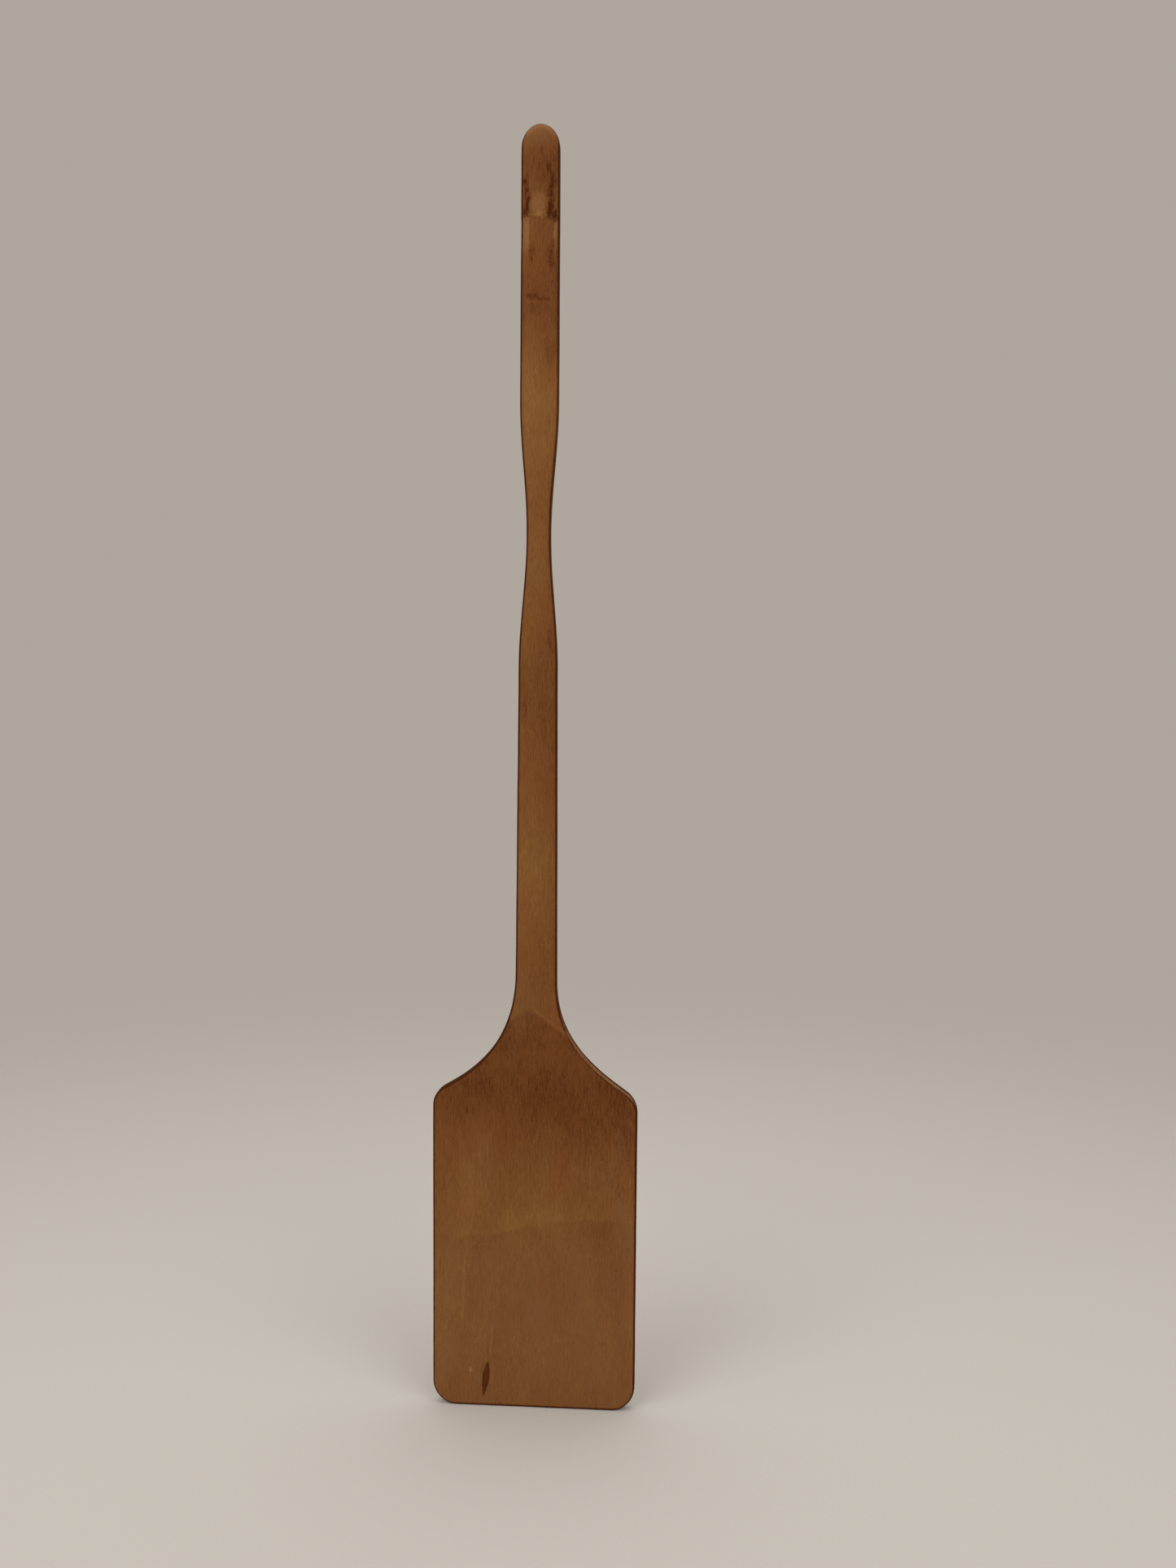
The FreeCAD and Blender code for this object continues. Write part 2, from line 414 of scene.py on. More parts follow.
def carving_tree(material):
    """Geometry nodes that carve the paddle from its outline: face and back sheets joined by eased edges."""
    bench, outline, size = new_tree("carve_paddle", CARVING)
    here = bench.node("GeometryNodeInputPosition")

    def kept(geometry, name, value, kind="FLOAT", chosen=True):
        """Stores a value on the chosen points."""
        values = {"Geometry": geometry, "Name": name, "Value": value, "Selection": chosen}
        return bench.node("GeometryNodeStoreNamedAttribute", {"data_type": kind}, values)

    def recalled(name, kind="FLOAT"):
        return bench.node("GeometryNodeInputNamedAttribute", {"data_type": kind}, {"Name": name})

    def moved(geometry, position, chosen=True):
        values = {"Geometry": geometry, "Position": position, "Selection": chosen}
        return bench.node("GeometryNodeSetPosition", values=values)

    def place():
        return bench.parts(here)

    def facet(x, z):
        """Where the two knife facets below the stop cut are, 0 to 1."""
        found = 0.0
        for knife in (LEFT_FACET, RIGHT_FACET):
            on_side = x * knife["side"] > 0.0
            below_cut = z < size["Stop Cut"]
            depth = bench.ramp(z, knife["foot"], knife["full"], 0.0, knife["cut"])
            found = depth * on_side * below_cut + found
        return found

    def easing(x, z):
        """How far the edges are rounded: little round the blade, more up the shaft, most at the tip."""
        low = bench.ramp(z, *EASING_GROWS_Z, size["Blade Easing"], size["Shaft Easing"])
        tip = bench.rise(z, TIP_EASING_Z)
        facets = facet(x, z) * size["Facet Widening"]
        return low + tip * (size["Tip Easing"] - size["Shaft Easing"]) + facets

    def edge_at(line, factor, turn):
        """At a fraction of one line: the outline's point, its easing, and where the flat sheet begins."""
        values = {"Curves": outline, "Factor": factor, "Curve Index": line}
        found = bench.node("GeometryNodeSampleCurve", {"mode": "FACTOR"}, values, out="Position")
        along_x, _, along_z = bench.parts(found.other("Tangent"))
        inward = bench.vector("NORMALIZE", bench.joined(along_z * -turn, 0.0, along_x * turn))
        x, _, z = bench.parts(found)
        wander = bench.noise(found, EDGE_WAVES, 3.0)
        off = bench.vector("SCALE", inward, Scale=wander * size["Edge Wander"])
        point = bench.vector("ADD", found, off)
        ease = easing(x, z)
        return point, ease, bench.vector("ADD", point, bench.vector("SCALE", inward, Scale=ease))

    def face_height(x, z):
        """Y of the front: the shaft's crown, the blade's long flat and the scoop between them."""
        ridge_x = bench.ramp(z, *RIDGE_TURN_Z, RIDGE_LOW_X, RIDGE_HIGH_X)
        slope = (x - ridge_x) * size["Crown Slope"]
        soft = size["Crown Softness"]
        crown = bench.maths("SQRT", slope * slope + soft * soft) - soft
        crown = bench.maths("SMOOTH_MIN", crown, size["Crown Limit"], CROWN_BLEND)
        rise = bench.maths("MAXIMUM", z - size["Scoop Foot"], 0.0)
        radius = size["Scoop Radius"]
        scoop = radius - bench.maths("SQRT", radius * radius - rise * rise)
        flat = bench.ramp(z, 0.0, size["Scoop Foot"], size["Face At End"], size["Face At Scoop"], "LINEAR")
        face = bench.maths("MAXIMUM", crown + FRONT_Y, flat - scoop)
        lip = size["Stop Cut"] + bench.noise(here, SCALLOP_WAVES, 5.0, 1.0) * SCALLOP_REACH
        cut = bench.rise(z, (lip - STOP_CUT_RUN, lip)) * (z < lip)
        waves = bench.noise(here, FACE_WAVES, 1.0) * size["Tool Waves"] * 2.0
        return face + cut * size["Stop Cut Depth"] + waves

    def back_height(x, z):
        waves = bench.noise(here, BACK_WAVES, 8.0) * size["Tool Waves"] * 2.0
        return waves - size["Tool Waves"] + BACK_Y

    counts = {"Size X": 1.0, "Size Y": 1.0, "Vertices X": COLUMNS + 1, "Vertices Y": ROWS + 1}
    sheet = bench.node("GeometryNodeMeshGrid", values=counts, out="Mesh")
    grid_x, grid_y, _ = place()
    sheet = kept(sheet, "across", grid_x + 0.5)
    from_cut = grid_y + (0.5 - STOP_CUT_ALONG)
    nearness = bench.maths("EXPONENT", (from_cut / STOP_CUT_SPREAD) ** 2.0 * -1.0)
    crowded = from_cut * (1.0 - nearness * STOP_CUT_CROWDING) + STOP_CUT_ALONG
    sheet = kept(sheet, "along", bench.maths("MINIMUM", bench.maths("MAXIMUM", crowded, 0.0), 1.0))
    across = recalled("across")
    along = recalled("along")

    left = edge_at(LEFT_LINE, along, -1.0)
    right = edge_at(RIGHT_LINE, along, 1.0)
    bottom = edge_at(BOTTOM_LINE, across, 1.0)
    tip = edge_at(TIP_LINE, across, -1.0)
    on_right = across > 0.5
    on_bottom = along < 0.5 / ROWS
    on_tip = along > 1 - 0.5 / ROWS

    ease_left_right = bench.maths("ADD", (1 - on_right) * left[1], on_right * right[1])
    on_side = (1 - on_bottom) * (1 - on_tip)
    edge_point = bench.blend(on_right, left[0], right[0])
    edge_point = bench.blend(on_tip, bench.blend(on_bottom, edge_point, bottom[0]), tip[0])
    sheet = kept(sheet, "edge_point", edge_point, "FLOAT_VECTOR")
    sheet = kept(sheet, "ease", on_side * ease_left_right + on_bottom * bottom[1] + on_tip * tip[1])

    low_left = edge_at(LEFT_LINE, 0.0, -1.0)[2]
    low_right = edge_at(RIGHT_LINE, 0.0, 1.0)[2]
    high_left = edge_at(LEFT_LINE, 1.0, -1.0)[2]
    high_right = edge_at(RIGHT_LINE, 1.0, 1.0)[2]
    # Rows run straight across between the sides, and bend to follow the two ends only when near them
    crosswise = bench.blend(across, left[2], right[2])
    bottom_bend = bench.vector("SUBTRACT", bottom[2], bench.blend(across, low_left, low_right))
    tip_bend = bench.vector("SUBTRACT", tip[2], bench.blend(across, high_left, high_right))
    bottom_bend = bench.vector("SCALE", bottom_bend, Scale=bench.fall(along, (0.0, BOTTOM_BEND_TOP)))
    tip_bend = bench.vector("SCALE", tip_bend, Scale=bench.rise(along, (TIP_BEND_FOOT, 1.0)))
    patch = bench.vector("ADD", crosswise, bench.vector("ADD", bottom_bend, tip_bend))
    sheet = moved(sheet, patch)
    sheet = kept(sheet, "sheet_point", here, "FLOAT_VECTOR")
    x, _, z = place()
    sheet = kept(sheet, "facet", facet(x, z))
    sheet = kept(sheet, "face_y", face_height(x, z))
    sheet = kept(sheet, "back_y", back_height(x, z))

    face_y = recalled("face_y")
    back_y = recalled("back_y")
    ease = recalled("ease")
    edge_point = recalled("edge_point", "FLOAT_VECTOR")
    sheet_point = recalled("sheet_point", "FLOAT_VECTOR")
    chamfer = recalled("facet")
    back_ease = ease - chamfer * size["Facet Widening"]

    x, _, z = place()
    shell = moved(sheet, bench.joined(x, face_y, z))
    rim = bench.maths("COMPARE", bench.node("GeometryNodeInputMeshEdgeNeighbors"), 1.0, 0.1)
    turns = [90.0 * step / EDGE_STEPS for step in range(1, EDGE_STEPS + 1)]
    rings = [("face", turn) for turn in turns]
    rings += [("wall", step / WALL_STEPS) for step in range(1, WALL_STEPS)]
    rings += [("back", turn) for turn in reversed(turns)] + [("back", 0.0)]
    for where, amount in rings:
        values = {"Mesh": shell, "Selection": rim, "Offset Scale": 0.0}
        shell = bench.node("GeometryNodeExtrudeMesh", {"mode": "EDGES"}, values, out="Mesh")
        rim = shell.other("Top")
        out = 1.0
        wall_front = face_y + ease
        y = wall_front + (back_y - back_ease - wall_front) * amount
        if where != "wall":
            turn = math.radians(amount)
            out = math.sin(turn)
            sink = 1 - math.cos(turn)
            y = back_y - back_ease * sink
        if where == "face":
            facet_sink = max(sink, out * FACET_PITCH)
            y = face_y + ease * (chamfer * (facet_sink - sink) + sink)
        ring_x, _, ring_z = bench.parts(bench.blend(out, sheet_point, edge_point))
        shell = moved(shell, bench.joined(ring_x, y, ring_z), rim)
        middling = 2 * min(amount, 1 - amount) if where == "wall" else 0.0
        shell = kept(shell, "wall", middling, chosen=rim)

    back = moved(sheet, bench.joined(x, back_y, z))
    back = bench.node("GeometryNodeFlipFaces", values={"Mesh": back})
    body = bench.node("GeometryNodeJoinGeometry", values={"Geometry": [shell, back]})
    body = bench.node("GeometryNodeMergeByDistance", values={"Geometry": body, "Distance": MERGE_DISTANCE})
    pocket = pitch_spindle(bench, size["Pitch Pocket Gap"])
    values = {"Mesh 1": body, "Mesh 2": pocket}
    settings = {"operation": "DIFFERENCE", "solver": "EXACT"}
    body = bench.node("GeometryNodeMeshBoolean", settings, values, out="Mesh")

    wire = bench.node("GeometryNodeCurveToMesh", values={"Curve": outline})
    here_x, _, here_z = place()
    near = {"Geometry": wire, "Sample Position": bench.joined(here_x, 0.0, here_z)}
    distance = bench.node("GeometryNodeProximity", {"target_element": "EDGES"}, near, out="Distance")
    body = kept(body, "from_edge", distance)
    return finished(bench, body, material)


def grown(base, tree, name, sizes):
    """Runs a tree on a base object and keeps the result as a plain mesh with its normals outward."""
    modifier = base.modifiers.new(name, "NODES")
    modifier.node_group = tree
    for item in tree.interface.items_tree:
        if item.in_out == "INPUT" and item.name in sizes:
            modifier[item.identifier] = sizes[item.name]
    bpy.context.view_layer.update()
    evaluated = base.evaluated_get(bpy.context.evaluated_depsgraph_get())
    mesh = bpy.data.meshes.new_from_object(evaluated)
    base.modifiers.remove(modifier)
    bpy.data.objects.remove(base)
    mesh.name = name
    work = bmesh.new()
    work.from_mesh(mesh)
    bmesh.ops.recalc_face_normals(work, faces=work.faces)
    work.to_mesh(mesh)
    work.free()
    piece = bpy.data.objects.new(name, mesh)
    bpy.context.collection.objects.link(piece)
    return piece


# ---------------------------------------------------------------- materials

MM = 1000.0


def shade(red, green, blue, lift=1.0):
    """A colour from its everyday 0 to 255 values, lifted for the light it stands in."""
    linear = [((part / 255 + 0.055) / 1.055) ** 2.4 * lift for part in (red, green, blue)]
    return (*linear, 1.0)


def colours_along(bench, value, stops):
    """A run of colours, each at its place from 0 to 1."""
    found = bench.node("ShaderNodeValToRGB", {}, {"Fac": value}, out="Color")
    ramp = found.socket.node.color_ramp
    ramp.interpolation = "LINEAR"
    while len(ramp.elements) < len(stops):
        ramp.elements.new(1.0)
    for element, (at, colour) in zip(ramp.elements, stops):
        element.position = at
        element.color = colour
    return found


def level_along(bench, value, stops):
    """A smooth run of levels from 0 to 1, each at its place."""
    greys = [(at, (level, level, level, 1.0)) for at, level in stops]
    found = colours_along(bench, value, greys)
    found.socket.node.color_ramp.interpolation = "CARDINAL"
    return found


def tinted(bench, factor, first, second):
    """Mixes two colours."""
    values = {"Factor": factor, "A": first, "B": second}
    return bench.node("ShaderNodeMix", {"data_type": "RGBA"}, values)


def new_material(name):
    """An empty material, its bench, and the place of the shaded point in metres."""
    material = bpy.data.materials.new(name)
    material.use_nodes = True
    bench = Bench(material.node_tree)
    return material, bench, bench.node("ShaderNodeTexCoord", out="Object")


def surfaced(bench, values, height, strength, depth):
    """Ends a material with its surface, which fine relief of a given depth roughens."""
    bumps = {"Strength": strength, "Distance": depth, "Height": height}
    values = values | {"Normal": bench.node("ShaderNodeBump", values=bumps)}
    surface = bench.node("ShaderNodeBsdfPrincipled", values=values)
    bench.node("ShaderNodeOutputMaterial", values={"Surface": surface})


WOOD_LIFT = 1.28
WOOD_COLOURS = [
    (0.00, shade(64, 30, 8, WOOD_LIFT)),
    (0.22, shade(95, 55, 27, WOOD_LIFT)),
    (0.45, shade(111, 71, 37, WOOD_LIFT)),
    (0.70, shade(126, 87, 47, WOOD_LIFT)),
    (1.00, shade(149, 113, 70, WOOD_LIFT)),
]
RUDDY = shade(112, 62, 34, WOOD_LIFT)
DUSTY = shade(116, 82, 54, WOOD_LIFT)
# The bare colour also carries the painted highlight on the top of the tip
BARE_WOOD_AND_HIGHLIGHT = shade(134, 94, 64, WOOD_LIFT)
BRUISED = shade(128, 98, 70, WOOD_LIFT)

# Tone of the bare colour along the length: (place in mm, level). The dark band at the neck end of the blade
# is painted shade, where the scoop's face turns a little downward, and the rise at the very top is painted
# highlight on the domed tip. Oil and handling darkened the stretch below the stop cut; the waist and the low
# shaft stayed light.
TONES_ALONG = [
    (0, 0.50), (30, 0.54), (60, 0.50), (85, 0.50), (117, 0.40), (135, 0.24), (152, 0.28), (172, 0.44),
    (190, 0.50), (215, 0.57), (240, 0.56), (275, 0.50), (305, 0.38), (335, 0.48), (360, 0.52), (400, 0.58),
    (430, 0.66), (455, 0.60), (478, 0.38), (500, 0.36), (530, 0.42), (545, 0.36), (556, 0.52),
]
# Dark and pale marks of handling: x, z, half width and half height in mm, and depth of tone. The pale one
# across the top of the tip is painted highlight on the domed top.
DARK_MARKS = [
    (-5.6, 533.5, 1.5, 4.4, 0.30), (-5.0, 526.5, 1.8, 5.0, 0.34), (-5.6, 520.5, 1.6, 3.4, 0.46),
    (4.4, 539.5, 1.3, 2.6, 0.26), (5.8, 534.0, 1.4, 4.4, 0.28), (5.2, 526.5, 2.0, 5.0, 0.30),
    (4.8, 520.6, 2.2, 3.4, 0.46), (7.3, 518.6, 1.0, 3.0, 0.46), (-3.2, 502.5, 1.3, 5.5, 0.26),
    (5.4, 501.5, 1.3, 7.0, 0.20), (-2.6, 484.0, 3.2, 1.9, 0.30), (-3.2, 478.5, 1.8, 2.8, 0.22),
    (0.5, 512.0, 3.4, 4.0, 0.06), (1.4, 547.5, 0.7, 2.4, 0.16), (0.0, 538.0, 5.0, 6.0, 0.07),
    (2.4, 482.5, 3.4, 1.1, 0.16), (5.9, 335.0, 1.0, 9.0, 0.18), (-4.8, 305.0, 1.1, 7.0, 0.18),
    (5.0, 459.0, 2.4, 7.0, 0.14), (-20.6, 12.0, 2.6, 10.0, 0.10), (-20.0, 24.0, 0.9, 5.0, 0.12),
]
PALE_MARKS_AND_TIP_HIGHLIGHT = [
    (0.4, 524.0, 3.6, 5.6, 0.17), (0.0, 519.3, 3.8, 1.2, 0.22), (7.1, 509.0, 0.7, 7.0, 0.20),
    (-4.1, 479.0, 1.0, 3.4, 0.12), (-24.0, 71.0, 5.6, 0.45, 0.10), (-0.6, 556.6, 6.4, 2.3, 0.14),
    (-31.0, 96.0, 9.0, 16.0, 0.07), (-2.0, 84.0, 14.0, 4.0, 0.05), (-18.4, 13.0, 1.0, 6.0, 0.10),
    (-27.5, 16.0, 0.7, 0.8, 0.55),
]
RUBBED_GRIP = (-0.5, 524.0, 4.0, 6.0)
MARK_EDGE = (0.3, 1.35)
# Pale scratches on the blade: top, foot, half width in mm, depth of tone
SCRATCHES = [
    ((-30.2, 66.0), (-31.4, 35.0), 0.8, 0.17), ((29.5, 136.5), (29.2, 125.5), 0.4, 0.14),
    ((-17.2, 41.0), (-19.4, 20.0), 0.9, 0.15), ((41.9, 104.0), (42.3, 32.0), 0.8, 0.10),
]
SCRATCH_WANDER = 1.8
SCRATCH_FADE = 4.0

# Noises in the wood: waves per mm along x, y and z, seed and detail
NOISES = {
    "blur across": ((0.7, 0.7, 0.4), 31.0, 4.0),
    "blur up": ((0.6, 0.6, 0.35), 32.0, 4.0),
    "scratch": ((0.0, 0.0, 0.16), 41.0, 2.0),
    "broad": ((0.035, 0.035, 0.022), 51.0, 3.0),
    "soft": ((0.16, 0.16, 0.07), 52.0, 3.0),
    "fibres": ((2.5, 2.5, 0.22), 53.0, 3.0),
    "bundles": ((0.8, 0.8, 0.018), 54.0, 2.0),
    "grit": ((3.6, 3.6, 1.4), 55.0, 2.0),
    "rings": ((0.02, 0.02, 0.012), 61.0, 2.0),
    "wet line": ((0.08, 0.0, 0.0), 62.0, 4.0),
    "arch": ((0.5, 0.5, 0.2), 63.0, 2.0),
    "wet patches": ((0.06, 0.06, 0.02), 64.0, 2.0),
    "edge": ((0.8, 0.8, 0.25), 71.0, 2.0),
    "wear": ((0.7, 0.7, 0.9), 72.0, 3.0),
    "ruddy": ((0.05, 0.05, 0.03), 81.0, 2.0),
    "dusty": ((0.07, 0.07, 0.035), 82.0, 2.0),
    "speckle": ((1.0, 1.0, 0.55), 91.0, 3.0),
}
BLUR_ACROSS = 2.6
BLUR_UP = 6.0
EDGE_RAGGEDNESS = 0.7
BACK_STARTS_Y = 1.5

# Ray flecks: width and height in mm, share of the cells that hold one, and seed
DARK_FLECKS = (0.62, 3.4, 0.46, 3.0)
PALE_FLECKS = (0.55, 2.8, 0.34, 17.0)
FLECK_WAVES_INWARD = 0.12
FLECK_EDGE = (0.08, 0.46)

# Growth rings: their middle, in mm, far below the blade, how flat they are and how close together
RING_MIDDLE = (3.0, -60.0)
RING_DRIFT = 16.0
RING_FLATNESS = 0.22
RING_CLOSENESS = 0.42

# The wet line across the blade: x from left to right and the heights it climbs between, in mm
WET_LINE_X = (-36.0, 26.0)
WET_LINE_Z = (73.5, 82.5)
WET_LINE_WANDER = 13.0
WET_LINE_GRIT = 1.5

# The arched line where the blade's scoop meets the shaft. Below it the colour is darkened as painted shade,
# and along it a painted highlight is laid.
ARCH_TOP_Z = 175.8
ARCH_SPREAD = 0.55
ARCH_ROUNDNESS = 0.6
ARCH_WANDER = 1.2

SMOKE_MIDDLE = (30.0, 118.0)
SMOKE_REACH = 17.0
SMOKE_LEAN = 40.0

# Between which two values each thing comes or goes: mm, or the level of a noise or a tone
FADES = {
    "pale of wet line": (1.0, 10.0), "wet line above": (-0.6, 1.0),
    "dark of wet line": (-13.0, -1.0), "wet line below": (-0.6, 0.8),
    "painted shade below arch": (-2.2, 0.0), "neck shade starts": (150.0, 162.0),
    "arch gleam": (0.0, 1.1), "arch gleam side": (-4.0, 3.0), "smoke": (0.2, 1.2),
    "painted shade right of shaft": (-3.0, 7.0), "shaft starts": (165.0, 205.0),
    "facet inside": (0.0, 0.7), "facet outside": (0.3, 1.1),
    "shoulder foot": (131.0, 137.0), "shoulder top": (154.0, 176.0), "right shoulder": (-5.0, 5.0),
    "shaft edge": (160.0, 180.0), "rim": (0.25, 0.55), "front of rim": (0.3, 1.2), "seam": (0.1, 0.35),
    "bottom": (0.6, 1.6), "crest": (557.2, 559.6), "tip_highlight": (0.4, 1.3), "tip highlight height": (552.5, 556.0),
    "clean": (0.05, 0.35),
}
# The same, with the two levels that each goes between
RANGES = {
    "speckle": (-0.10, 0.14, 0.25, 1.45),
    "wet patches": (-0.18, 0.12, 0.35, 1.0),
    "facet width": (-2.0, 2.0, 3.4, 1.7),
    "facet top": (500.0, 512.0, 0.5, 1.0),
    "facet speckle": (0.2, 1.2, 1.0, 0.75),
    "wear": (-0.16, 0.10, 0.3, 1.0),
    "arris width": (-2.0, 2.0, 0.15, -0.30),
    "arris on wall": (0.0, 0.6, 1.0, 0.6),
    "ruddy": (-0.08, 0.22, 0.0, 0.30),
    "dusty": (0.0, 0.24, 0.0, 0.28),
    "dusty blade": (60.0, 95.0, 0.22, 0.0),
    "dusty tip": (545.0, 556.0, 0.0, 0.3),
}
# Painted shade across the width: the wood darker to the right, as the light falls from the left
RIGHT_SHADE_SPAN = (-40.0, 40.0)
ARRIS_WIDTH = 0.55
ARRIS_SOFTNESS = 0.45
ARRIS_LOST_ON_SLOPE = 0.9
ARCH_GLEAM_RISE = 0.5
SEAM_FROM_EDGE = 0.75
TIP_HIGHLIGHT_FROM_EDGE = 2.0
EDGE_GRIT = 0.3
RIM_GRIT = 0.8
GRIME_SPECKLE = 0.48
GRIME_EVEN = 0.40

# How far each thing shifts the tone, where 0 is the darkest wood and 1 the palest
TONE_SHIFTS = {
    "broad": 0.20, "soft": 0.18, "fibres": 0.62, "bundles": 0.10, "grit": 0.36,
    "dark flecks": -0.13, "pale flecks": 0.11, "rings": 0.028,
    "above wet line": 0.04, "below wet line": -0.06, "painted shade below arch": -0.12, "arch gleam": 0.13,
    "smoke": -0.07, "painted shade on right": -0.05, "painted shade right of shaft": -0.08, "all": 0.022,
    "grime": -1.0, "pale marks and tip highlight": 1.0, "scratches": 1.0, "bare facets": 0.26,
    "oiled_and_shaded_arris": -0.62, "bottom": -0.42, "crest": -0.34, "seam": -0.16, "back rim": -0.45, "bruise": 0.16,
}
# The same for the roughness and for the relief
WOOD_ROUGHNESS = 0.58
ROUGHNESS_SHIFTS = {"soft": 0.16, "fibres": 0.10, "bruise": 0.12, "bare facets": 0.10, "oiled_and_shaded_arris": -0.06}
RELIEF_SHIFTS = {"fibres": 0.5, "grit": 0.35, "soft": 0.5, "dark flecks": -0.25, "bruise": -0.6}
WOOD_RELIEF = 0.00012
PITCH_RELIEF = 0.0001
PAPER_RELIEF = 0.0001


class Wood:
    """The shaded point of the wood, in millimetres, with the values that several steps share."""

    def __init__(self, bench, metres):
        self.bench = bench
        self.place = bench.vector("SCALE", metres, Scale=MM)
        self.x, self.y, self.z = bench.parts(self.place)
        self.front = self.y < BACK_STARTS_Y
        self.edge = bench.stored("from_edge") * MM
        self.ragged_edge = self.edge + self.noise("edge") * EDGE_RAGGEDNESS
        self.blurred_x = self.noise("blur across") * BLUR_ACROSS + self.x
        self.blurred_z = self.noise("blur up") * BLUR_UP + self.z
        self.soft = self.noise("soft")
        self.fibres = self.noise("fibres")
        self.grit = self.noise("grit")
        self.speckle = bench.ramp(self.noise("speckle"), *RANGES["speckle"])

    def noise(self, name):
        waves, seed, detail = NOISES[name]
        return self.bench.noise(self.place, waves, seed, detail)

    def mark(self, centre_x, centre_z, half_width, half_height):
        """A soft ragged patch of the face, 1 in its middle."""
        across = (self.blurred_x - centre_x) / half_width
        up = (self.blurred_z - centre_z) / half_height
        return self.bench.fall(self.bench.length(across, up), MARK_EDGE) * self.front

    def marks(self, listed):
        """All the listed marks together, each as deep as it says."""
        return sum(self.mark(*where) * depth for *where, depth in listed)

    def scratch(self, top, foot, half_width):
        """A thin wandering line on the face between two places."""
        bench = self.bench
        done = bench.ramp(self.z, foot[1], top[1], 0.0, 1.0, "LINEAR")
        line = done * (top[0] - foot[0]) + foot[0] + self.noise("scratch") * SCRATCH_WANDER
        foot_fade = bench.rise(self.z, (foot[1], foot[1] + SCRATCH_FADE))
        top_fade = bench.fall(self.z, (top[1] - SCRATCH_FADE, top[1]))
        return bench.fall(bench.distance(self.x, line), (0.0, half_width)) * foot_fade * top_fade * self.front

    def flecks(self, width, height, share, seed):
        """Short upright dashes along the grain, 1 in their middles."""
        bench = self.bench
        cells = bench.vector("MULTIPLY", self.place, (1 / width, FLECK_WAVES_INWARD, 1 / height))
        cells = bench.vector("ADD", cells, (seed, seed, seed))
        values = {"Vector": cells, "Scale": 1.0}
        cell = bench.node("ShaderNodeTexVoronoi", {"feature": "F1"}, values, out="Distance")
        chance, _, _ = bench.parts(cell.other("Color"))
        return bench.fall(cell, FLECK_EDGE) * (chance < share)


def grain(wood):
    """Mottling, fibres a fraction of a millimetre wide, ray flecks and the long arcs of the growth rings."""
    ring_x = wood.x + wood.noise("rings") * RING_DRIFT - RING_MIDDLE[0]
    ring_z = (wood.z - RING_MIDDLE[1]) * RING_FLATNESS
    rings = wood.bench.maths("SINE", wood.bench.length(ring_x, ring_z) * RING_CLOSENESS)
    return {
        "broad": wood.noise("broad"), "soft": wood.soft, "fibres": wood.fibres,
        "bundles": wood.noise("bundles"), "grit": wood.grit, "rings": rings,
        "dark flecks": wood.flecks(*DARK_FLECKS), "pale flecks": wood.flecks(*PALE_FLECKS),
    }


def stains_and_painted_light(wood):
    """The wet line, the smoky patch, painted shade below the arch at the neck with a painted highlight along
    the arch, and painted shade on the right side.
    """
    bench = wood.bench
    wet_level = bench.ramp(wood.x, *WET_LINE_X, *WET_LINE_Z) + wood.noise("wet line") * WET_LINE_WANDER
    over = wood.z - wet_level + wood.grit * WET_LINE_GRIT
    patchy = bench.ramp(wood.noise("wet patches"), *RANGES["wet patches"])
    off_ridge = wood.x - RIDGE_LOW_X * MM
    arch = ARCH_TOP_Z - bench.maths("SQRT", off_ridge * off_ridge * ARCH_SPREAD + ARCH_ROUNDNESS)
    above_arch = wood.z - arch + wood.noise("arch") * ARCH_WANDER
    # Below the arch: painted shade, where the scoop faces a little downward. Along the arch: a painted
    # highlight on the crease.
    gleam = bench.fall(bench.distance(above_arch, ARCH_GLEAM_RISE), FADES["arch gleam"])
    smoke_z = (wood.z - SMOKE_MIDDLE[1]) / SMOKE_REACH
    smoke_x = (wood.x - SMOKE_MIDDLE[0]) / SMOKE_REACH + (wood.z - SMOKE_MIDDLE[1]) / SMOKE_LEAN
    pale = bench.fall(over, FADES["pale of wet line"]) * bench.rise(over, FADES["wet line above"])
    dark = bench.rise(over, FADES["dark of wet line"]) * bench.fall(over, FADES["wet line below"])
    below_arch = bench.fall(above_arch, FADES["painted shade below arch"])
    # Painted shade: the right of the shaft darker, as the light falls from the left
    shade_right_of_middle = bench.rise(wood.x, FADES["painted shade right of shaft"])
    return {
        "above wet line": pale * patchy,
        "below wet line": dark * patchy,
        "painted shade below arch": below_arch * bench.rise(wood.z, FADES["neck shade starts"]),
        "arch gleam": gleam * bench.rise(wood.x, FADES["arch gleam side"]),
        "smoke": bench.fall(bench.length(smoke_x, smoke_z), FADES["smoke"]),
        "painted shade on right": bench.ramp(wood.x, *RIGHT_SHADE_SPAN, 0.0, 1.0, "LINEAR"),
        "painted shade right of shaft": shade_right_of_middle * bench.rise(wood.z, FADES["shaft starts"]),
        "all": 1.0,
    }


def handling(wood):
    """Marks and scratches, and the bare wood of the facets, where the knife took the skin off. One pale
    patch, across the top of the tip, is painted highlight.
    """
    bench = wood.bench
    width = bench.ramp(wood.x, *RANGES["facet width"])
    bare = bench.fall(wood.ragged_edge - width, FADES["facet inside"])
    bare = bare * bench.rise(wood.edge, FADES["facet outside"]) * bench.stored("facet") * wood.front
    bare = bare * bench.ramp(wood.z, *RANGES["facet top"])
    bare = bare * bench.ramp(wood.speckle, *RANGES["facet speckle"])
    return {
        "grime": wood.marks(DARK_MARKS) * (wood.speckle * GRIME_SPECKLE + GRIME_EVEN),
        "pale marks and tip highlight": wood.marks(PALE_MARKS_AND_TIP_HIGHLIGHT),
        "scratches": sum(wood.scratch(*where) * depth for *where, depth in SCRATCHES),
        "bare facets": bare,
    }


